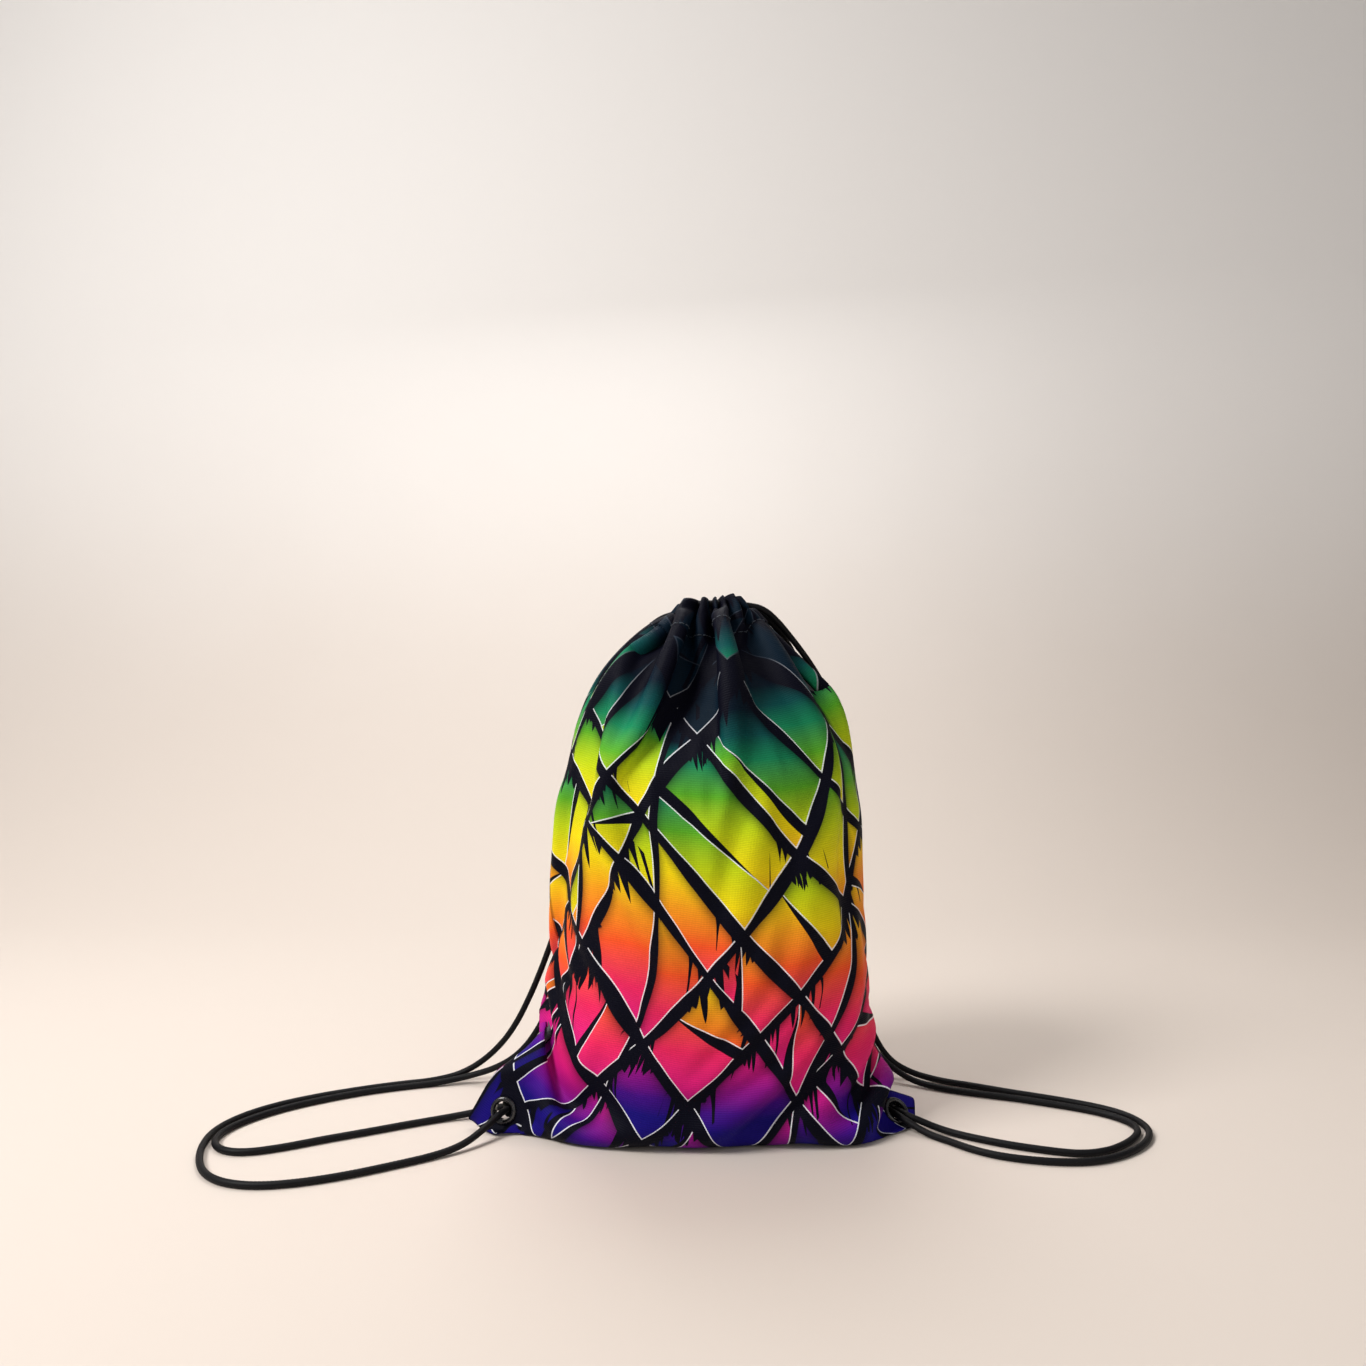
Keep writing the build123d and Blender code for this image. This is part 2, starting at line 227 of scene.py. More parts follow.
def sweep_material():
    material = Material("pale_studio_paper", Roughness=0.9)
    height = material.part(material.object_point(), 2)
    grain = material.noise(material.object_point(), 3.0)
    # Painted shade and light: the sweep's colour is darker on the floor and lighter up the wall.
    tone = height.smooth(-0.1, 1.3) + (grain - 0.5) * 0.08
    floor_colour, wall_colour = (0.625, 0.555, 0.50), (0.85, 0.825, 0.805)
    material.set("Base Color", material.ramp(tone, [(0.0, floor_colour), (1.0, wall_colour)]))
    return material.material


# ---- cords
CORD_DIAMETER = 0.005
NECK_X = 0.015
# The cords' routes are in millimetres, and so are these.
FLOOR_Z = 1000 * CORD_DIAMETER / 2 + 0.1
LEFT_RING_Z = 384.3
RIGHT_RING_Z = 390
RING_CORNER_RADIUS = 18.3


def ring_corners(first_angle, step, height):
    """The seven corners of a cord's turn round the hem tunnel; angles in degrees."""
    angles = [math.radians(first_angle + step * index) for index in range(7)]
    radius = RING_CORNER_RADIUS
    return [(1000 * NECK_X + radius * math.cos(a), radius * math.sin(a), height) for a in angles]


# Each cord runs from its knot through the eyelet, out along the floor, up the back to
# the mouth, once round the hem tunnel, and the same way back. A point without a height
# lies on the floor.
LEFT_CORD_OUTGOING = [
    (-136, -25.5, 13.5), (-139.2, -36, 14.8), (-144, -47, 13.4), (-151, -58, 9.5),
    (-162, -70, 4.6), (-178, -81.5), (-201, -95), (-229, -110), (-257, -121), (-284, -126),
    (-308, -122), (-327, -109), (-340, -88), (-348, -65), (-350.5, -42), (-343, -19), (-325, 3),
    (-299, 21), (-269, 36), (-239, 48), (-213, 55), (-190, 62, 6), (-168, 61, 20),
    (-147, 54, 44), (-129, 49, 80), (-113, 47.5, 122), (-98, 51.5, 168), (-84, 57, 216),
    (-71, 61.5, 262), (-60, 62.5, 301), (-52.5, 57, 334), (-45, 44, 357), (-36, 30.5, 373),
    (-23, 18, 382), (-9, 8.5, LEFT_RING_Z),
]
LEFT_CORD_RETURN = [
    (-7.5, 16, LEFT_RING_Z), (-19.5, 24.5, 382), (-29, 37, 371), (-35.5, 51, 353),
    (-41, 63, 329), (-47, 70, 298), (-56, 71.5, 260), (-67, 67.5, 216), (-80, 60, 170),
    (-94, 51.5, 124), (-109, 45, 82), (-124, 43, 49), (-140, 46, 28), (-159, 51, 15),
    (-182, 56, 6.5), (-208, 50), (-236, 42), (-264, 31), (-291, 16), (-315, -1), (-334, -22),
    (-343.5, -43), (-342, -61), (-331, -73.5), (-314, -77.5), (-291, -70), (-265, -56),
    (-238, -43.5), (-210, -29.5), (-184, -18), (-163, -13.5, 5), (-149, -16, 9.5),
    (-137.7, -20.9, 12.4),
]
RIGHT_CORD_OUTGOING = [
    (145.6, -12.6, 8), (149.6, -24.1, 9.5), (154, -34.5, 9.6), (162.5, -42, 6), (172.5, -49),
    (183, -58.5), (194, -70.5), (209, -81), (229, -88), (252, -92), (275, -91), (297, -82),
    (315.5, -69), (329, -53.5), (335.5, -37), (333, -20), (322.5, -5), (305, 7), (282, 19),
    (255, 31), (229, 44.5), (204, 55.5), (182, 66, 5.5), (164, 72, 15), (149, 74.5, 42),
    (139, 74, 80), (132, 71, 126), (127, 66, 174), (123.5, 59.5, 220), (120, 51.5, 262),
    (115.5, 43, 298), (107.5, 35.5, 325), (95, 28, 345), (80, 18.5, 363.5), (65.5, 8.5, 379.5),
    (54, 1.5, 388), (41, -0.5, RIGHT_RING_Z),
]
RIGHT_CORD_RETURN = [
    (42, 6.4, RIGHT_RING_Z), (57, 11, 382), (69, 20, 371.5), (82, 31, 353), (94, 42, 327),
    (102, 52, 294), (107, 60, 254), (110.5, 66, 210), (114, 70.5, 164), (119, 73.5, 118),
    (128, 73.5, 76), (140, 71, 42), (154, 66.5, 21.5), (168, 59.5, 10), (182.5, 49.5, 4),
    (201, 39), (226, 28.5), (253, 19.5), (279, 8), (299, -1.5), (315, -12), (325.5, -25),
    (327.5, -38.5), (320, -51.5), (307, -64), (290, -75), (270, -79.5), (249, -74), (227, -66),
    (208, -56.5), (192, -47), (179, -39.5, 4), (168, -36, 7.5), (158.5, -31, 10),
    (154.4, -21.9, 9.5), (150.4, -10.4, 8),
]
LEFT_CORD_ROUTE = LEFT_CORD_OUTGOING + ring_corners(197, 45, LEFT_RING_Z) + LEFT_CORD_RETURN
RIGHT_CORD_ROUTE = RIGHT_CORD_OUTGOING + ring_corners(-39, -45, RIGHT_RING_Z) + RIGHT_CORD_RETURN


def smooth_route(name, points):
    """The cord's own smooth line: a NURBS curve with the route's points as controls."""
    curve = bpy.data.curves.new(name, "CURVE")
    curve.dimensions = "3D"
    curve.resolution_u = 24
    spline = curve.splines.new("NURBS")
    spline.points.add(len(points) - 1)
    places = [point if len(point) == 3 else (*point, FLOOR_Z) for point in points]
    for control, point in zip(spline.points, np.array(places) / 1000):
        control.co = (*point, 1.0)
    spline.order_u = 3
    spline.use_endpoint_u = True
    holder = bpy.data.objects.new(name, curve)
    mesh = bpy.data.meshes.new_from_object(holder)
    line = np.array([v.co[:] for v in mesh.vertices])
    bpy.data.objects.remove(holder)
    bpy.data.meshes.remove(mesh)
    return line


def even_steps(line, step):
    """The line's points again, a fixed step apart, with the running length of each."""
    gaps = np.linalg.norm(np.diff(line, axis=0), axis=1)
    run = np.concatenate([[0.0], np.cumsum(gaps)])
    count = int(run[-1] / step)
    wanted = np.linspace(0.0, run[-1], count + 1)
    return np.stack([np.interp(wanted, run, line[:, k]) for k in range(3)], axis=1), wanted


def frames_along(line):
    """A direction and two turning-free side directions at each point of a line."""
    ahead = np.gradient(line, axis=0)
    ahead /= np.linalg.norm(ahead, axis=1)[:, None]
    side = np.cross(ahead[0], (0.0, 0.0, 1.0))
    if np.linalg.norm(side) < 0.1:
        side = np.cross(ahead[0], (1.0, 0.0, 0.0))
    sides = []
    for direction in ahead:
        side = side - direction * side.dot(direction)
        side = side / np.linalg.norm(side)
        sides.append(side)
    sides = np.array(sides)
    return ahead, sides, np.cross(ahead, sides)


CORD_STEP = 0.0009
CORD_SEGMENTS = 32
BRAID_STRANDS = 6
BRAID_DEPTH = 0.00022


def tube_geometry(rings, first, last):
    """Vertices and faces of a tube through rings of points, closed at its two tips."""
    count, segments = rings.shape[:2]
    rows = np.arange(count - 1)[:, None] * segments
    here = np.arange(segments)[None, :]
    after = (here + 1) % segments
    faces = np.stack([rows + here, rows + after, rows + segments + after, rows + segments + here], axis=2)
    vertices = np.vstack([rings.reshape(-1, 3), first, last])
    start, end, tail = len(vertices) - 2, len(vertices) - 1, (count - 1) * segments
    caps = [(start, (k + 1) % segments, k) for k in range(segments)]
    caps += [(end, tail + k, tail + (k + 1) % segments) for k in range(segments)]
    return vertices, [tuple(f) for f in faces.reshape(-1, 4).tolist()] + caps


def joined(parts):
    """One set of vertices and faces from several."""
    vertices, faces, count = [], [], 0
    for points, polygons in parts:
        vertices.append(points)
        faces += [tuple(corner + count for corner in polygon) for polygon in polygons]
        count += len(points)
    return np.vstack(vertices), faces


def braid(line, radius, segments=CORD_SEGMENTS, step=CORD_STEP, ends=0.0012):
    """Round braided cord along a line, its crossing strands raised in the mesh."""
    points, run = even_steps(line, step)
    _, side, up = frames_along(points)
    angle = np.linspace(0, 2 * math.pi, segments, endpoint=False)
    turn = BRAID_STRANDS * angle[None, :]
    pitch = 2 * math.pi * radius / BRAID_STRANDS
    travel = 2 * math.pi * run[:, None] / pitch
    over = np.sin(travel) * np.sin(turn)
    woven = np.where(over > 0, np.cos(turn - travel), np.cos(turn + travel))
    swell = radius - BRAID_DEPTH * (0.5 - 0.5 * woven)
    closing = np.clip(np.minimum(run, run[-1] - run) / ends, 0, 1)
    swell = swell * np.sqrt(1 - (1 - closing) ** 2)[:, None]
    rings = (points[:, None, :] + side[:, None, :] * (swell * np.cos(angle))[:, :, None]
             + up[:, None, :] * (swell * np.sin(angle))[:, :, None])[1:-1]
    vertices, faces = tube_geometry(rings, points[0], points[-1])
    flat_run = np.concatenate([np.repeat(run[1:-1], segments), [0.0, run[-1]]])
    flat_angle = np.concatenate([np.tile(angle, len(rings)), [0.0, 0.0]])
    return vertices, faces, flat_run, flat_angle


def braided_piece(name, lines, radius):
    braids = [braid(line, radius) for line in lines]
    piece = make_mesh(name, *joined([each[:2] for each in braids]))
    angle = np.concatenate([each[3] for each in braids])
    set_attribute(piece, "cord_run", np.concatenate([each[2] for each in braids]))
    set_attribute(piece, "cord_cos", np.cos(angle))
    set_attribute(piece, "cord_sin", np.sin(angle))
    return piece


def set_attribute(piece, name, values):
    attribute = piece.data.attributes.new(name, "FLOAT", "POINT")
    attribute.data.foreach_set("value", np.ascontiguousarray(values, dtype=np.float32))


def cord_material():
    """Black braided polyester; the fine grey specks of its glossy yarns are painted glints."""
    material = Material("black_braided_cord", Specular_IOR_Level=0.15)
    run = material.attribute("cord_run") * 1150.0
    across = material.attribute("cord_cos") * 3.0
    around = material.attribute("cord_sin") * 3.0
    yarn = material.vector(across, around, run)
    specks = material.noise(yarn, 1.3, 3.0, 0.65)
    glint_patches = material.noise(material.object_point(), 60.0, 3.0)
    # Painted glints: grey specks lighten the colour, in patches, where the glossy yarns would catch the
    # light.
    painted_glints = specks.smooth(0.62, 0.78) * glint_patches.smooth(0.35, 0.7)
    colour = material.ramp(painted_glints, [(0.0, (0.0035, 0.0035, 0.0045)), (1.0, (0.12, 0.105, 0.095))])
    material.set("Base Color", colour)
    material.set("Roughness", specks.smooth(0.3, 0.8) * 0.2 + 0.46)
    material.bump(specks, 0.00012, 0.6)
    return material.material


# Centre, axis towards the eyelet and directions of the two tails of each knot.
KNOTS = {
    "left": ((-0.1358, -0.0262, 0.0137), (-0.2, -0.96, 0.18), [(0.35, 0.85, -0.2), (-0.3, 0.9, 0.25)]),
    "right": ((0.149, -0.0145, 0.0078), (0.3, -0.65, 0.7), [(0.25, 0.95, -0.1), (0.85, 0.5, -0.12)]),
}
KNOT_CORD_RADIUS = 0.0023     # the cord is squeezed where it is knotted
KNOT_LOOP = 0.00155           # a third of the knot's centre line radius
KNOT_RISE = 0.0021            # half the height between strands that cross
TAIL_LENGTH = 0.0165
TAIL_CURL = 0.0022


def knot_lines(centre, axis, tails):
    """The drawn-tight overhand knot's turns and the two tails behind it."""
    centre, axis = np.array(centre), np.array(axis) / np.linalg.norm(axis)
    level = np.cross(axis, (0.0, 0.0, 1.0))
    level /= np.linalg.norm(level)
    rise = np.cross(level, axis)
    t = np.linspace(0, 2 * math.pi, 240)
    across = KNOT_LOOP * (np.sin(t) + 2 * np.sin(2 * t))
    upward = KNOT_LOOP * (np.cos(t) - 2 * np.cos(2 * t))
    depth = -KNOT_RISE * np.sin(3 * t)
    lines = [centre + np.outer(across, level) + np.outer(upward, rise) + np.outer(depth, axis)]
    for order, direction in enumerate(tails):
        direction = np.array(direction) / np.linalg.norm(direction)
        reach = np.linspace(0.002, TAIL_LENGTH, 30)
        curl = (reach / TAIL_LENGTH) ** 2 * TAIL_CURL * (1 if order else -1)
        lines.append(centre + np.outer(reach, direction) + np.outer(curl, level))
    return lines


def make_cords():
    """Both cords and their knots; gives each side's cord, knot and centre line."""
    black = cord_material()
    pieces = {}
    for side, route in (("left", LEFT_CORD_ROUTE), ("right", RIGHT_CORD_ROUTE)):
        line = smooth_route(side + "_route", route)
        cord = braided_piece(side + "_drawcord_braid", [line], CORD_DIAMETER / 2)
        knot = braided_piece(side + "_overhand_knot", knot_lines(*KNOTS[side]), KNOT_CORD_RADIUS)
        for piece, node in ((cord, side + "_drawcord"), (knot, side + "_knot")):
            piece.data.materials.append(black)
            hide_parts(node)
        pieces[side] = (cord, knot, even_steps(line, CORD_STEP)[0])
    return pieces


# ---- cloth by simulation
CELL = 0.005                  # cloth grid
ACROSS = 68                   # cells across one panel
UP = 92                       # cells from the bottom seam to the top edge
AROUND = 2 * ACROSS
FILLING_TOP = 0.372
# Height, half width, half depth and centre of what fills the bag.
FILLING = [
    (0.0, 0.106, 0.052, 0.012),
    (0.014, 0.120, 0.065, 0.012),
    (0.050, 0.1225, 0.078, 0.0145),
    (0.120, 0.1145, 0.083, 0.0170),
    (0.200, 0.1050, 0.083, 0.0125),
    (0.270, 0.1065, 0.080, 0.0135),
    (0.305, 0.097, 0.067, 0.011),
    (0.335, 0.070, 0.048, 0.0065),
    (0.362, 0.034, 0.030, 0.0085),
    (FILLING_TOP, 0.012, 0.012, NECK_X),
]
heights = np.linspace(0, FILLING_TOP, 373)
SMOOTHING = 24                # steps of height that one smoothed value looks up and down
kernel = np.exp(-0.5 * (3 * np.arange(-SMOOTHING, SMOOTHING + 1) / SMOOTHING) ** 2)
kernel /= kernel.sum()


def smooth_column(column):
    """One of the filling's measures at every height, rounded off."""
    values = np.interp(heights, [row[0] for row in FILLING], [row[column] for row in FILLING])
    return np.convolve(np.pad(values, SMOOTHING, mode="edge"), kernel, mode="valid")


half_widths, half_depths, centres = (smooth_column(k) for k in (1, 2, 3))


def section(z):
    """The filling's half width, half depth and centre at a height."""
    return (np.interp(z, heights, half_widths), np.interp(z, heights, half_depths),
            np.interp(z, heights, centres))


def arc_table(a, b, count=721):
    """Angles round an ellipse, and the share of its edge that is passed at each."""
    angle = np.linspace(-math.pi, math.pi, count)
    x, y = a * np.cos(angle), b * np.sin(angle)
    run = np.concatenate([[0], np.cumsum(np.hypot(np.diff(x), np.diff(y)))])
    return angle, run / run[-1]


def tab_axes(normal, turn_u, turn_v):
    """Unit vectors in a corner's plane along the bottom seam and along the side seam."""
    normal = np.array(normal) / np.linalg.norm(normal)
    level = np.array([-normal[1], normal[0], 0.0])
    level /= np.linalg.norm(level)
    rise = np.cross(normal, level)
    turns = [math.radians(turn) for turn in (turn_u, turn_v)]
    along_u, along_v = (level * math.cos(turn) + rise * math.sin(turn) for turn in turns)
    return normal, rise, along_u, along_v


CORNERS = {
    "left": dict(centre=(-0.139, -0.035, 0.015), normal=(-0.2, -0.96, 0.18), inset=0.021, turns=(-28, 62)),
    "right": dict(centre=(0.152, -0.023, 0.0095), normal=(0.3, -0.65, 0.7), inset=0.0156, turns=(243, 153)),
}
# Every grid point's column round the bag, row, number, place on the flat panel, and layer:
# 1 in the front panel, -1 in the back panel and 0 on a side seam.
column = np.repeat(np.arange(AROUND), UP + 1)
row = np.tile(np.arange(UP + 1), AROUND)
index = np.arange(AROUND * (UP + 1)).reshape(AROUND, UP + 1)
flat_u = np.where(column <= ACROSS, column, AROUND - column) * CELL
flat_v = row * CELL
layer = np.where(column < ACROSS, 1.0, -1.0) * (column % ACROSS != 0)


def corner_point(side, u, v, lift):
    """Place in a corner's plane; what would reach under the floor turns forward along it."""
    corner = CORNERS[side]
    normal, rise, along_u, along_v = tab_axes(corner["normal"], *corner["turns"])
    du = u if side == "left" else ACROSS * CELL - u
    points = (np.array(corner["centre"]) + np.outer(du - corner["inset"], along_u)
              + np.outer(v - corner["inset"], along_v) + np.outer(lift, normal))
    below = np.maximum(0.0014 + lift - points[:, 2], 0.0) / rise[2]
    level = rise * (1, 1, 0)
    return points + np.outer(below, rise - level / np.linalg.norm(level))


# Pleats of the drawn-up hem, in cells, going round from the left seam by the front.
FRONT_PLEATS = [6, 7, 13, 9, 5, 5, 8, 8, 7]
BACK_PLEATS = [6, 8, 6, 9, 6, 7, 8, 6, 6, 6]
assert sum(FRONT_PLEATS) == ACROSS and sum(BACK_PLEATS) == ACROSS


def neck_ring():
    """Angle, and fold depth from 0 (valley) to 1 (crest), of each column at the mouth."""
    pleats = FRONT_PLEATS + BACK_PLEATS
    share = np.array(pleats, float) ** 0.75
    share *= 2 * math.pi / share.sum()
    angles, crest, depth = [], [], []
    start = -math.pi
    for cells, turn in zip(pleats, share):
        arc = 0.026 * turn
        fold = math.sqrt(max((cells * CELL / 2) ** 2 - (arc / 2) ** 2, 0))
        for cell in range(cells):
            s = cell / cells
            angles.append(start + turn * (s + 0.10 * math.sin(4 * math.pi * s)))
            crest.append(1 - abs(2 * s - 1))
            depth.append(fold)
        start += turn
    return np.array(angles), np.array(crest), np.array(depth)


ring_angle, ring_crest, ring_depth = neck_ring()


def neck_row(level):
    """Pinned positions of one row of the hem; level 0 is the top edge."""
    middle = (0.0215, 0.0245, 0.0275)[level]
    z = (0.3965, 0.3925, 0.3882)[level]
    radius = middle + ring_depth * (ring_crest - 0.5) * (0.86, 0.95, 1.0)[level]
    leftward = np.clip(-np.cos(ring_angle), 0, 1)
    z = z - 0.004 * (1 - ring_crest) + 0.0012 * np.sin(5 * ring_angle) - 0.006 * leftward
    radius = radius - 0.003 * np.clip(np.cos(ring_angle), 0, 1)
    return np.stack([NECK_X + radius * np.cos(ring_angle), 0.88 * radius * np.sin(ring_angle), z], axis=1)


CLEAR = 0.003                 # from the filling to the cloth before it is let go


def first_shape():
    """The cloth wrapped round the filling, before it is let go."""
    angle, share = arc_table(0.120, 0.076)
    # More cloth is bunched at the sides than across the front.
    cells = np.arange(ACROSS) + 0.5
    front = np.where((cells > 12) & (cells < 56), 1.0, 0.62)
    back = np.where((cells > 14) & (cells < 54), 1.0, 0.66)
    weight = np.concatenate([front / front.sum(), back / back.sum()]) / 2
    fraction = np.concatenate([[0], np.cumsum(weight)])[:-1]
    around = np.interp(fraction, share, angle)
    tips = [corner_point(side, np.array([u]), np.array([0.0]), np.array([0.0]))[0]
            for side, u in (("left", 0.0), ("right", ACROSS * CELL))]
    rim = neck_row(2)
    shape = np.zeros((AROUND, UP + 1, 3))
    for k in range(AROUND):
        along = (k if k <= ACROSS else AROUND - k) / ACROSS
        start = tips[0] * (1 - along) + tips[1] * along
        path = [(start[0], start[1] * 0.5, 0.0012 + start[2] * abs(2 * along - 1) ** 8)]
        for z in (0.001, 0.006, 0.014, 0.03, 0.05, 0.085, 0.12, 0.16, 0.2, 0.235, 0.27, 0.29, 0.305):
            a, b, c = section(z)
            path.append((c + (a + CLEAR) * math.cos(around[k]), (b + CLEAR) * math.sin(around[k]), z))
        path.append(rim[k])
        path = np.array(path)
        run = np.concatenate([[0], np.cumsum(np.linalg.norm(np.diff(path, axis=0), axis=1))])
        wanted = np.linspace(0, run[-1], UP - 1)
        for axis in range(3):
            shape[k, :UP - 1, axis] = np.interp(wanted, run, path[:, axis])
        shape[k, UP - 1] = neck_row(1)[k]
        shape[k, UP] = neck_row(0)[k]
    return shape.reshape(-1, 3)


def links():
    """Pairs that keep their length, in groups where no point comes twice."""
    groups = []

    def add(step_c, step_r, stiffness, top=UP):
        rest = CELL * math.hypot(step_c, step_r)
        span = max(abs(step_c), abs(step_r))
        for phase in range(2):
            if step_c:
                whole = AROUND - AROUND % (2 * span)
                starts = np.array([c for c in range(whole) if (c // span) % 2 == phase])
                rows = np.arange(max(0, -step_r), top + 1 - max(0, step_r))
                a = index[starts][:, rows]
                b = index[(starts + step_c) % AROUND][:, rows + step_r]
            else:
                rows = np.array([r for r in range(UP + 1 - span) if (r // span) % 2 == phase])
                a, b = index[:, rows], index[:, rows + span]
            groups.append((a.ravel(), b.ravel(), rest, stiffness, span > 1))

    add(1, 0, 1.0)
    add(0, 1, 1.0)
    add(1, 1, 0.45)
    add(1, -1, 0.45)
    for reach, stiffness in ((2, 0.10), (4, 0.035)):
        add(reach, 0, stiffness)
        add(0, reach, stiffness)
    # The filled part is stretched smooth across.
    for reach, stiffness, top in ((2, 0.12, 60), (4, 0.14, 58), (8, 0.06, 56)):
        add(reach, 0, stiffness, top)
    return groups


# Small folds of slack cloth over the filling: angle, height, lean, width in radians,
# reach up and down, and rise as a share of the radius.
CREASES = [
    (-2.46, 0.212, 4.0, 0.055, 0.036, 0.090),
    (-2.18, 0.200, -4.5, 0.055, 0.032, 0.085),
    (-1.94, 0.230, -6.0, 0.055, 0.024, 0.070),
    (-2.38, 0.064, 5.0, 0.065, 0.024, 0.100),
    (-2.06, 0.054, -7.0, 0.060, 0.022, 0.090),
    (-0.66, 0.262, 2.5, 0.055, 0.036, 0.085),
    (-0.82, 0.178, -3.0, 0.055, 0.038, 0.075),
    (-0.56, 0.110, 3.5, 0.055, 0.034, 0.080),
]


def lumps(angle, z):
    """Uneven filling: broad swells and dents, and the folds, as a share of the radius."""
    swell = 0.012 * np.sin(2 * angle + 9 * z) + 0.010 * np.sin(3 * angle - 24 * z + 1.0)
    swell += 0.006 * np.sin(5 * angle + 31 * z + 2.2)
    for turn, height, lean, width, reach, rise in CREASES:
        aside, along = (angle - turn - lean * (z - height)) / width, (z - height) / reach
        swell += rise * np.exp(-aside ** 2 - along ** 2)
    # A ridge falls from the mouth to the left shoulder, with a hollow on its right.
    upper = np.clip((z - 0.222) / 0.02, 0, 1) * np.clip((0.375 - z) / 0.03, 0, 1)
    ridge = 0.170 * np.exp(-((angle + 2.27 + 1.2 * np.maximum(z - 0.29, 0)) / 0.085) ** 2)
    hollow = 0.330 * np.exp(-((angle + 1.80) / 0.34) ** 2) * np.clip((z - 0.27) / 0.05, 0, 1)
    return swell * np.clip((z - 0.02) / 0.06, 0, 1) + (ridge - hollow) * upper


def filling_side(points, gap):
    """How far each point is inside the filling's surface plus a gap, and the way out."""
    z = np.clip(points[:, 2], 0, FILLING_TOP)
    a, b, c = section(z)
    x, y = points[:, 0] - c, points[:, 1]
    scale = 1 + lumps(np.arctan2(y / b, x / a), z)
    a, b = a * scale, b * scale
    q = np.sqrt((x / a) ** 2 + (y / b) ** 2) + 1e-9
    gx, gy = x / (a * a) / q, y / (b * b) / q
    up = 0.002
    a2, b2, c2 = section(np.clip(z + up, 0, FILLING_TOP))
    q2 = np.sqrt(((points[:, 0] - c2) / (a2 * scale)) ** 2 + (y / (b2 * scale)) ** 2)
    gz = (q2 - q) / up
    size = np.sqrt(gx * gx + gy * gy + gz * gz)
    inside = gap - (q - 1) / size
    out = np.stack([gx, gy, gz], axis=1) / size[:, None]
    # Under the bag the filling presses the cloth down on the floor.
    under = (points[:, 2] < 0.012) & (q < 0.985)
    inside = np.where(under, np.maximum(points[:, 2] - 0.0022, 0.0), inside)
    out = np.where(under[:, None], np.array([0.0, 0.0, -1.0]), out)
    inside = np.where(points[:, 2] > FILLING_TOP, 0.0, inside)
    return inside, out


CORD_REACH = 0.012            # cloth points farther from a cord are not looked at
CORD_CLEAR = 0.0036           # from a cord's centre line to the cloth's middle
CORD_HOLD = 0.010             # cloth within this of a centre line stays on the bag's side


def press_under(points, cord, outward):
    """Keeps the cloth on the bag's side of a cord that lies against it."""
    low, high = cord.min(axis=0) - CORD_REACH, cord.max(axis=0) + CORD_REACH
    near = np.flatnonzero(((points > low) & (points < high)).all(axis=1))
    if not len(near):
        return
    offset = points[near][:, None, :] - cord[None, :, :]
    gap = np.einsum("ijk,ijk->ij", offset, offset)
    closest = gap.argmin(axis=1)
    rows = np.arange(len(near))
    touching = gap[rows, closest] < CORD_HOLD ** 2
    offset, out = offset[rows, closest], outward[closest]
    height = np.einsum("ij,ij->i", offset, out)
    aside = np.sqrt(np.maximum(gap[rows, closest] - height ** 2, 0))
    limit = -np.sqrt(np.maximum(CORD_CLEAR ** 2 - aside ** 2, 0))
    over = np.where(touching & (aside < CORD_CLEAR), np.maximum(height - limit, 0), 0)
    points[near] -= out * over[:, None]


def cord_runs(cords):
    """The stretches of cord beside the filled bag, with the way out at each point."""
    runs = []
    for cord in cords:
        beside = cord[(cord[:, 2] > 0.03) & (cord[:, 2] < FILLING_TOP)]
        leaps = np.linalg.norm(np.diff(beside, axis=0), axis=1) > 0.02
        for run in np.split(beside, np.flatnonzero(leaps) + 1):
            runs.append((run, filling_side(run, 0.0)[1]))
    return runs


def pins(points):
    """Which points are held, and where: the hem's top rows and the cloth at the eyelets."""
    pinned, target = np.zeros(len(points), bool), points.copy()
    for level in range(3):
        ids = index[:, UP - level]
        pinned[ids] = True
        target[ids] = neck_row(level)
    for side, radius in (("left", 0.0235), ("right", 0.021)):
        du = flat_u if side == "left" else ACROSS * CELL - flat_u
        inset = CORNERS[side]["inset"]
        near = np.hypot(du - inset, flat_v - inset) < radius
        near |= (du < 0.003) & (flat_v < 0.003)
        pinned |= near
        target[near] = corner_point(side, flat_u, flat_v, LAYER_LIFT * layer)[near]
    return pinned, target


def keep_lengths(points, groups):
    """One round of corrections. Bending links only push; threads give way when squeezed."""
    for a, b, rest, stiffness, bend in groups:
        d = points[b] - points[a]
        length = np.sqrt(np.einsum("ij,ij->i", d, d)) + 1e-12
        stretch = (length - rest) / length
        if bend:
            stretch = np.minimum(stretch, 0)
        else:
            stretch = np.where(stretch < 0, 0.25 * stretch, stretch)
        d *= (0.5 * stiffness * stretch)[:, None]
        points[a] += d
        points[b] -= d


FALL = 0.00006                # each step's drop by weight
CLOTH_GAP = 0.0012            # from the filling to the cloth's middle
CLING = 0.012                 # share of a small gap to the filling that closes each round
SLIDE_DAMPING = 0.16
FLOOR_GAP = 0.0008


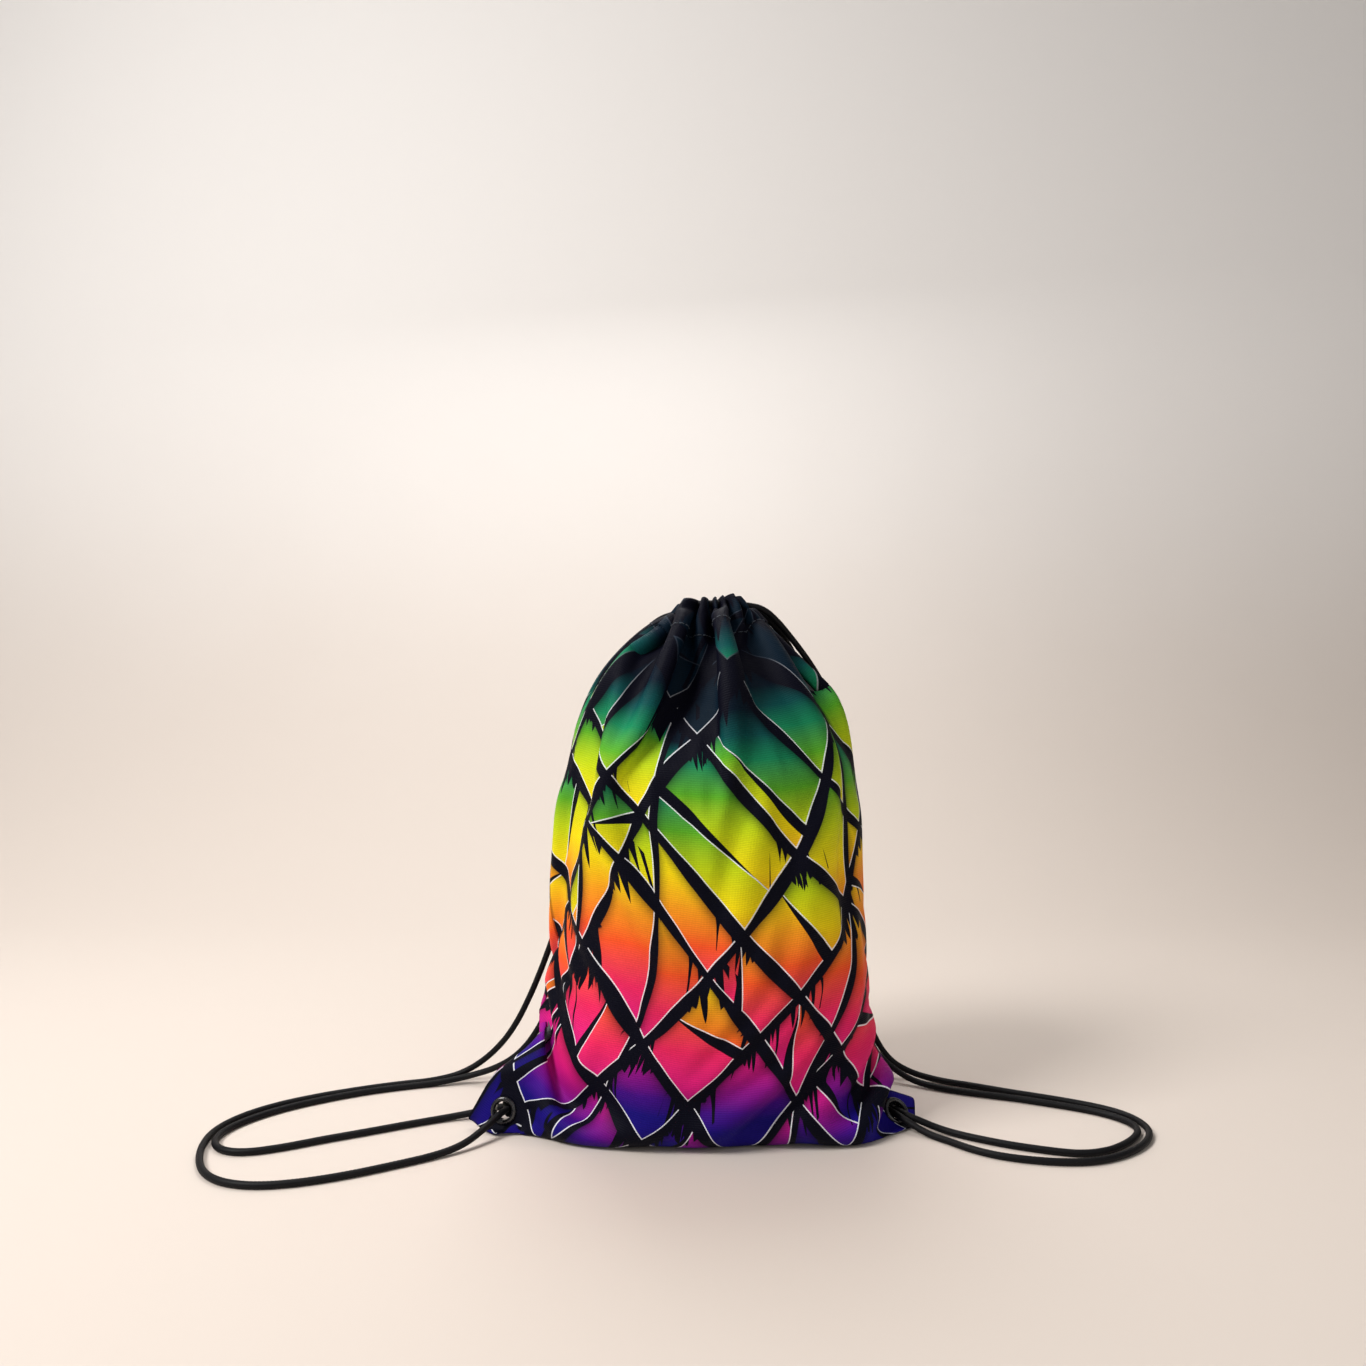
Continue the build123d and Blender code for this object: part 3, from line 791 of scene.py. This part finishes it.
def drape(cords, steps=110, rounds=10):
    """The cloth's points once it has settled on the filling, the floor and the cords."""
    pressing = cord_runs(cords)
    rng = np.random.default_rng(7)
    points = first_shape()
    groups = links()
    pinned, target = pins(points)
    free = ~pinned
    points[pinned] = target[pinned]
    points += rng.normal(0, 0.0004, points.shape) * free[:, None]
    front_seam = index[:ACROSS + 1, 0]
    back_seam = index[(AROUND - np.arange(ACROSS + 1)) % AROUND, 0]
    last = points.copy()
    for step in range(steps):
        velocity = (points - last) * (0.96 if step / steps < 0.75 else 0.85)
        last = points.copy()
        points = points + velocity
        points[:, 2] -= FALL * free
        for turn in range(rounds):
            keep_lengths(points, groups)
            middle = (points[front_seam] + points[back_seam]) / 2
            points[front_seam] = middle
            points[back_seam] = middle
            inside, out = filling_side(points, CLOTH_GAP)
            push = np.maximum(inside, 0)
            z = points[:, 2]
            cling = np.clip((0.325 - z) / 0.06, 0, 1) * np.clip((z - 0.02) / 0.05, 0, 1)
            push = np.where(inside < 0, CLING * np.maximum(inside, -0.02) * cling, push)
            points += out * push[:, None]
            slide = points - last
            slide -= out * np.einsum("ij,ij->i", slide, out)[:, None]
            points -= SLIDE_DAMPING * slide * (inside > 0)[:, None]
            points[:, 2] = np.maximum(points[:, 2], FLOOR_GAP)
            if turn == rounds - 1:
                for run, outward in pressing:
                    press_under(points, run, outward)
            points[pinned] = target[pinned]
    return points


# ---- the bag's cloth pieces
CLOTH_THICKNESS = 0.0005
LAYER_LIFT = 0.0007           # each panel's distance from the corner's middle plane
EYELET_HOLE = 0.0082          # radius, under the eyelet's flange


def add_flat_pattern(piece, flat):
    """Each corner's place on the flat cut cloth, kept as UV."""
    cut = piece.data.uv_layers.new(name="cut")
    corners = np.empty(len(piece.data.loops), dtype=np.int64)
    piece.data.loops.foreach_get("vertex_index", corners)
    cut.data.foreach_set("uv", flat[corners].astype(np.float32).ravel())


def thicken(piece):
    """Rounds the grid off and gives the cloth its thickness."""
    smooth = piece.modifiers.new("smooth", "SUBSURF")
    smooth.levels = smooth.render_levels = 1
    thick = piece.modifiers.new("thickness", "SOLIDIFY")
    thick.thickness = CLOTH_THICKNESS
    thick.offset = 0.0


def panel_cloth(name, points, columns, shift):
    """One printed panel: its grid faces, its eyelet holes and its flat pattern as UV."""
    ids = index[np.array(columns) % AROUND]
    local = np.arange(ids.size).reshape(ids.shape)
    flat = np.stack([flat_u[ids].ravel(), flat_v[ids].ravel()], axis=1)
    places = points[ids].reshape(-1, 3)
    hand = 1.0 if columns[0] == 0 else -1.0
    faces = np.array([(local[c, r], local[c + 1, r], local[c + 1, r + 1], local[c, r + 1])
                      for c in range(len(columns) - 1) for r in range(UP)])
    for side in ("left", "right"):
        inset = CORNERS[side]["inset"]
        eyelet = np.array([inset if side == "left" else ACROSS * CELL - inset, inset])
        inside = np.linalg.norm(flat[faces].mean(axis=1) - eyelet, axis=1) < EYELET_HOLE - 0.0004
        rim = np.intersect1d(faces[inside], faces[~inside])
        offset = flat[rim] - eyelet
        flat[rim] = eyelet + offset * (EYELET_HOLE / np.linalg.norm(offset, axis=1))[:, None]
        lift = np.full(len(rim), LAYER_LIFT * hand)
        places[rim] = corner_point(side, flat[rim, 0], flat[rim, 1], lift)
        faces = faces[~inside]
    piece = make_mesh(name, places, faces.tolist())
    add_flat_pattern(piece, flat + (shift, 0.0))
    thicken(piece)
    return piece


PANEL_HEIGHT = 460.0          # millimetres, as the rest of the print's numbers


def largest(values):
    result = values[0]
    for value in values[1:]:
        result = result.max(value)
    return result


def print_material():
    """Printed polyester: a rainbow of torn shards between dark brush strokes, on a ribbed weave."""
    material = Material("printed_shards", Specular_IOR_Level=0.07)
    u, v = material.flat_place("cut")
    swing_u = (v * (2 * math.pi / 330.0) + 0.9).sin() * 11.0 + (u * 0.027 + v * 0.015).sin() * 4.5
    swing_v = (u * (2 * math.pi / 300.0) + 2.1).sin() * 13.0 + (v * 0.025 - u * 0.019).sin() * 4.5
    bent_u, bent_v = u + swing_u, v + swing_v

    def family(angle, spacing, seed, width):
        """Parallel strokes, unevenly spaced, each with its own swelling width."""
        turn = math.radians(angle)
        across = bent_v * math.cos(turn) - bent_u * math.sin(turn)
        along = bent_u * math.cos(turn) + bent_v * math.sin(turn)
        place = across / spacing + seed * 0.37
        number = (place + 0.5).floor()
        jitter = (material.random(number, seed) - 0.5) * 0.54
        offset = place - number - jitter
        cell = number - offset.below(0.0)
        swell = material.noise(material.vector(along, number * 70.0, seed), 1 / 60.0, 1.0)
        half = swell.smooth(0.25, 0.75) * width * 0.75 + width * 0.5
        return dict(distance=offset * spacing, number=number, cell=cell, along=along,
                    half=half * (v.smooth(325.0, 420.0) * 0.9 + 1.0),
                    inside=(place - cell - 0.5) * spacing)

    def drawn(distance, half):
        """How far a stroke's dark body and its pale hairline cover a point."""
        body = (half - distance.abs()).smooth(-0.25, 0.25)
        return body, (distance - half - 0.45).band(0.55, 0.25)

    def shaded(stroke):
        """The soft shade below a stroke."""
        below = stroke["distance"] * -1.0 - stroke["half"]
        soft = ((below * -1.0 + 10.0) / 10.0).clamped() * below.above(0.0)
        return soft * soft

    def torn(stroke, partner, lean, seed):
        """Spikes that hang from a stroke's lower side, longest where two strokes cross."""
        below = stroke["distance"] * -1.0 - stroke["half"]
        slant = stroke["along"] + stroke["distance"] * lean
        spikes = []
        for size, longest, spread, rarity in ((4.8, 40.0, 21.0, 0.42), (9.5, 62.0, 30.0, 0.70)):
            ragged = slant / size
            tip = (ragged.fract() - 0.5).abs() * -2.0 + 1.0
            reach = material.random(ragged.floor(), stroke["number"], 60.0 + seed + size)
            crossing = material.random(stroke["number"], partner["number"], 80.0 + seed + size)
            near = (partner["distance"].abs() * -1.0 + spread) / (spread - 4.0)
            length = reach * reach * near.clamped() * crossing.above(rarity) * longest
            spike = (length * tip - below).smooth(-0.5, 0.9) * (below + 0.6).above(0.0)
            spikes.append(spike * length.above(2.0))
        return spikes

    rising = family(52, 62.0, 3.0, 4.6)
    falling = family(-46, 57.0, 8.0, 4.8)
    steep = family(78, 150.0, 21.0, 3.0)
    families = (rising, falling, steep)
    hue = material.random(rising["cell"], falling["cell"], steep["cell"])
    light = material.random(falling["cell"], rising["cell"] + 17.0, steep["cell"])
    marks = [drawn(stroke["distance"], stroke["half"]) for stroke in families]
    spikes = largest(torn(rising, falling, -0.95, 0.0) + torn(falling, rising, 0.8, 1.0))
    shade = largest([shaded(stroke) for stroke in families])

    # Some shards are split again by a wedge that tapers to a point.
    split = material.random(falling["cell"] + 5.0, steep["cell"], rising["cell"]).above(0.45)
    turn = light * (2 * math.pi)
    wedge = rising["inside"] * turn.cos() + falling["inside"] * turn.sin() - (hue - 0.5) * 14.0
    length = falling["inside"] * turn.cos() - rising["inside"] * turn.sin()
    half = ((length + 24.0) / 48.0).clamped() * split * 4.2
    marks.append([mark * split for mark in drawn(wedge, half)])
    strokes, hairs = (largest([mark[part] for mark in marks]) for part in (0, 1))
    step = wedge.above(0.0) * split * 34.0

    # The dark top of the print reaches lowest in the middle of the front: partly print, partly painted
    # shade of the hollow under the mouth.
    dip_u, dip_v = (u - 148.0) / 46.0, (v - 392.0) / 58.0
    hollow_shade = (dip_u * dip_u + dip_v * dip_v).smooth(1.0, 0.15) * 62.0
    drift = (rising["inside"] + falling["inside"]) * 0.30
    height = v + (hue - 0.5) * 64.0 + step + drift + hollow_shade
    bands = [
        (44, (0.010, 0.004, 0.19)), (62, (0.06, 0.004, 0.25)), (84, (0.30, 0.007, 0.26)),
        (112, (0.78, 0.014, 0.24)), (150, (0.90, 0.025, 0.13)), (190, (0.95, 0.10, 0.022)),
        (224, (0.95, 0.36, 0.015)), (256, (0.93, 0.72, 0.006)), (294, (0.52, 0.66, 0.008)),
        (326, (0.10, 0.40, 0.02)), (354, (0.010, 0.24, 0.10)), (378, (0.003, 0.075, 0.075)),
        (402, (0.0015, 0.010, 0.022)),
    ]
    scaled = [(place / PANEL_HEIGHT, colour) for place, colour in bands]
    rainbow = material.ramp(height / PANEL_HEIGHT, scaled, "LINEAR")
    cloud = material.noise(material.vector(u, v, 2.0), 1 / 26.0, 2.0)
    tone = (light * 0.22 + 0.86) * (cloud * 0.24 + 0.90)
    grey = material.ramp(tone, [(0.0, (0, 0, 0)), (1.0, (1, 1, 1))], "LINEAR")
    rainbow = material.mix(1.0, rainbow, grey, "MULTIPLY")
    navy = (0.0016, 0.0018, 0.0075)
    colour = material.mix(shade * 0.60, rainbow, navy)
    hairline = [(0.0, (0.86, 0.88, 0.93)), (1.0, (0.03, 0.04, 0.06))]
    pale = material.ramp((v - 335.0) / 65.0, hairline, "LINEAR")
    colour = material.mix(spikes, colour, navy)
    colour = material.mix(hairs * 0.9, colour, pale)
    colour = material.mix(strokes, colour, navy)
    ribs = (v * (2 * math.pi / 1.5)).sin() * 0.65 + (u * (2 * math.pi / 1.1)).sin() * 0.35
    # Painted shade: the grooves between the weave's ribs are darkened in the colour.
    colour = material.mix((ribs * 0.5 + 0.5) * 0.20, colour, (0.0, 0.0, 0.0))
    # The seams pull the cloth in along both sides and the bottom, and so does the channel; these grooves
    # are also painted darker, as painted shade.
    from_side = ((u.op("MODULO", 500.0) - 170.0).abs() * -1.0 + 170.0).min(v)
    seam = from_side.smooth(2.2, 0.4)
    channel = (v - 430.0).abs().smooth(1.8, 0.2)
    groove = seam.max(channel * 0.6)
    # Painted shade: the colour darkens in the seam and channel grooves.
    colour = material.mix(groove * 0.45, colour, (0.0, 0.0, 0.002))
    material.set("Base Color", colour)
    worn = material.noise(material.vector(u, v, 9.0), 1 / 6.0, 4.0)
    material.set("Roughness", worn * 0.16 + 0.50)
    fine = material.bump(ribs, 0.00016, 0.6)
    fine = material.bump(groove, 0.0012, -0.7, before=fine)
    material.bump(material.noise(material.vector(u, v, 4.0), 1 / 11.0, 3.0), 0.0011, 0.30, before=fine)
    return material.material


# ---- hem, stitching, seams and eyelets
STITCH_ROW = UP - 6           # the channel is 30 mm deep
STITCH_RADIUS = 0.00028
ALLOWANCE = 0.008             # seam edge turned to the inside
ALLOWANCE_HALF = 0.0006
OVERLOCK_PITCH = 0.0026
OVERLOCK_RADIUS = 0.00022


def outward_normals(grid):
    """Unit normals of the cloth tube, pointing out of the bag."""
    along = np.roll(grid, -1, axis=0) - np.roll(grid, 1, axis=0)
    normal = np.cross(along, np.gradient(grid, axis=1))
    return normal / (np.linalg.norm(normal, axis=2)[:, :, None] + 1e-12)


def thread(line, radius, segments=6):
    """A thin round thread along a line."""
    _, side, up = frames_along(line)
    angle = np.linspace(0, 2 * math.pi, segments, endpoint=False)
    rings = (line[:, None, :] + radius * (side[:, None, :] * np.cos(angle)[None, :, None]
                                          + up[:, None, :] * np.sin(angle)[None, :, None]))
    return tube_geometry(rings, line[0], line[-1])


def channel_stitches(grid, normals, columns):
    """One stitch to each cell along the channel's lower edge, sunk in at both ends."""
    parts = []
    # The grid rounded off as its first subdivision does it: first up the cloth, then across.
    row = (grid[:, STITCH_ROW - 1] + 6 * grid[:, STITCH_ROW] + grid[:, STITCH_ROW + 1]) / 8
    knots = (np.roll(row, 1, axis=0) + 6 * row + np.roll(row, -1, axis=0)) / 8
    t = np.linspace(0.14, 0.86, 7)[:, None]
    lift = 0.0001 + 0.0005 * np.sin(math.pi * np.linspace(0, 1, 7))
    for c in columns:
        n = (c + 1) % AROUND
        out = normals[c, STITCH_ROW] + normals[n, STITCH_ROW]
        out /= np.linalg.norm(out)
        line = knots[c] * (1 - t) * (1 - 2 * t) + knots[n] * t * (2 * t - 1)
        line += (row[c] + row[n]) / 2 * 4 * t * (1 - t)
        parts.append(thread(line + lift[:, None] * out, STITCH_RADIUS))
    return joined(parts)


def overlocked_edge(seam, inward):
    """A seam's allowance, standing into the bag, wound with its overlock thread."""
    ahead = np.gradient(seam, axis=0)
    ahead /= np.linalg.norm(ahead, axis=1)[:, None]
    inward = inward - ahead * np.einsum("ij,ij->i", inward, ahead)[:, None]
    inward /= np.linalg.norm(inward, axis=1)[:, None]
    side = np.cross(ahead, inward)
    corners = [(0.0008, -1), (ALLOWANCE, -1), (ALLOWANCE, 1), (0.0008, 1)]
    rings = np.stack([seam + inward * reach + side * ALLOWANCE_HALF * hand
                      for reach, hand in corners], axis=1)
    edge = tube_geometry(rings, rings[0].mean(axis=0), rings[-1].mean(axis=0))
    run = np.concatenate([[0], np.cumsum(np.linalg.norm(np.diff(seam, axis=0), axis=1))])
    fine = np.arange(0.0, run[-1], OVERLOCK_PITCH / 10)
    seam, inward, side = (np.stack([np.interp(fine, run, part[:, k]) for k in range(3)], axis=1)
                          for part in (seam, inward, side))
    phase = 2 * math.pi * fine / OVERLOCK_PITCH
    reach = 0.6 * ALLOWANCE + 0.0003 + 0.42 * ALLOWANCE * np.cos(phase)
    line = seam + inward * reach[:, None] + side * (1.5 * ALLOWANCE_HALF * np.sin(phase))[:, None]
    return joined([edge, thread(line, OVERLOCK_RADIUS, segments=5)])


def thread_material(name, colour):
    """Twisted sewing thread with a slight shine."""
    material = Material(name, Sheen_Weight=0.2, Sheen_Roughness=0.4)
    twist = material.noise(material.object_point(), 900.0, 3.0)
    dark = tuple(0.45 * part for part in colour)
    material.set("Base Color", material.ramp(twist, [(0.35, dark), (0.7, colour)]))
    material.set("Roughness", twist * 0.3 + 0.42)
    material.bump(twist, 0.00012, 0.6)
    return material.material


def metal_material(side):
    """Black enamelled brass, rubbed to bare metal round the bore and specked where it is worn."""
    material = Material(side + "_enamelled_metal", Coat_Weight=0.35, Coat_Roughness=0.18)
    point = material.object_point()
    normal = tab_axes(CORNERS[side]["normal"], 0, 90)[0].tolist()
    offset = [material.part(point, axis) - place for axis, place in enumerate(CORNERS[side]["centre"])]
    depth = sum(part * share for part, share in zip(offset, normal))
    radius = (sum(part * part for part in offset) - depth * depth).max(0.0).power(0.5)
    bore = radius.smooth(0.0079, 0.0066)
    rim = radius.smooth(0.0093, 0.0099)
    patches = material.noise(point, 420.0, 4.0, 0.6)
    fine = material.noise(point, 2600.0, 2.0)
    worn = (patches + bore * 0.05 + rim * 0.09 + (fine - 0.5) * 0.14).smooth(0.66, 0.74)
    colour = material.ramp(worn, [(0.0, (0.006, 0.006, 0.008)), (1.0, (0.15, 0.13, 0.11))])
    material.set("Base Color", colour)
    material.set("Metallic", worn * 0.7)
    material.set("Roughness", patches * 0.22 + 0.16)
    material.bump(fine, 0.00003, 0.4)
    return material.material


def finish_metal():
    for side in ("left", "right"):
        metal = metal_material(side)
        for name in (side + "_eyelet", side + "_eyelet_washer"):
            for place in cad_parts[name].material_slots:
                place.material = metal


def sewn_piece(name, geometry, material, node):
    piece = make_mesh(name, *geometry)
    piece.data.materials.append(material)
    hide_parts(node)


def hem_lining(name, grid, normals, columns, shift):
    """The channel's inner layer: the top edge folded over and down on the inside."""
    columns = np.array(columns) % AROUND
    rows = [UP] + list(range(UP, STITCH_ROW - 1, -1))
    inset = np.array([0.0006] + [0.0013] * (len(rows) - 1))
    points = grid[columns][:, rows] - normals[columns][:, rows] * inset[None, :, None]
    points[:, 0, 2] += 0.0006
    points[:, 1, 2] -= 0.0002
    count = len(rows)
    faces = [(c * count + r, c * count + r + 1, (c + 1) * count + r + 1, (c + 1) * count + r)
             for c in range(len(columns) - 1) for r in range(count - 1)]
    piece = make_mesh(name, points.reshape(-1, 3), faces)
    flat = np.stack([np.repeat(np.arange(len(columns)) * CELL + shift, count),
                     np.tile(UP * CELL + np.arange(count) * CELL, len(columns))], axis=1)
    add_flat_pattern(piece, flat)
    thicken(piece)
    return piece


def make_bag():
    paths = [cords[side][2][::4] for side in ("left", "right")]
    points = drape(paths)
    grid = points.reshape(AROUND, UP + 1, 3)
    normals = outward_normals(grid)
    printed = print_material()
    sides = {"front": (range(ACROSS + 1), 0.0), "back": (range(ACROSS, AROUND + 1), 0.5)}
    top_thread = thread_material("stitch_thread", (0.05, 0.07, 0.10))
    edge_thread = thread_material("overlock_thread", (0.04, 0.04, 0.05))
    for side, (columns, shift) in sides.items():
        cloth = panel_cloth(side + "_panel_cloth", points, columns, shift)
        lining = hem_lining(side + "_hem_lining", grid, normals, columns, shift)
        for piece, slot in ((cloth, side + "_cloth"), (lining, "hem_cloth")):
            piece.data.materials.append(printed)
        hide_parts(side + "_hem_channel")
        stitches = channel_stitches(grid, normals, list(columns)[:-1])
        sewn_piece(side + "_channel_thread", stitches, top_thread,
                   side + "_channel_stitching")
    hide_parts("front_panel", "left_corner_tab", "right_corner_tab")
    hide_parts("back_panel")
    # The seam edges start away from the corners, where both panels lie flat together.
    low, high = 12, STITCH_ROW - 2
    for side, column in (("left", 0), ("right", ACROSS)):
        seam = grid[column, low:high]
        middle = np.stack([np.full(len(seam), NECK_X), np.zeros(len(seam)), seam[:, 2]], axis=1)
        edge = overlocked_edge(seam, middle - seam)
        sewn_piece(side + "_seam_edge", edge, edge_thread, side + "_seam_overlock")
    seam = grid[13:ACROSS - 12, 0]
    edge = overlocked_edge(seam, np.tile((0.0, 0.2, 1.0), (len(seam), 1)))
    sewn_piece("bottom_seam_edge", edge, edge_thread, "bottom_seam_overlock")
    finish_metal()


# ---- making
make_camera()
cords = make_cords()
make_floor()
make_bag()
area_light("key", (-1.5, -0.9, 1.8), (0, 0, 0.15), 0.8, 54, (1.0, 0.985, 0.965))
area_light("fill", (1.2, -2.0, 1.3), (0, 0, 0.2), 2.0, 11, (1.0, 0.985, 0.97))
area_light("top", (-0.1, 0.62, 1.5), (0, 0.05, 0), 0.7, 11, (1.0, 0.99, 0.98))
area_light("wall", (-0.9, 0.1, 2.3), (-0.4, 1.5, 0.9), 1.6, 7, (1.0, 0.99, 0.98))
world = bpy.data.worlds.new("studio")
world.use_nodes = True
world.node_tree.nodes["Background"].inputs["Color"].default_value = (1.0, 0.975, 0.95, 1.0)
world.node_tree.nodes["Background"].inputs["Strength"].default_value = 0.23
bpy.context.scene.world = world
bpy.context.scene.view_settings.view_transform = "Standard"
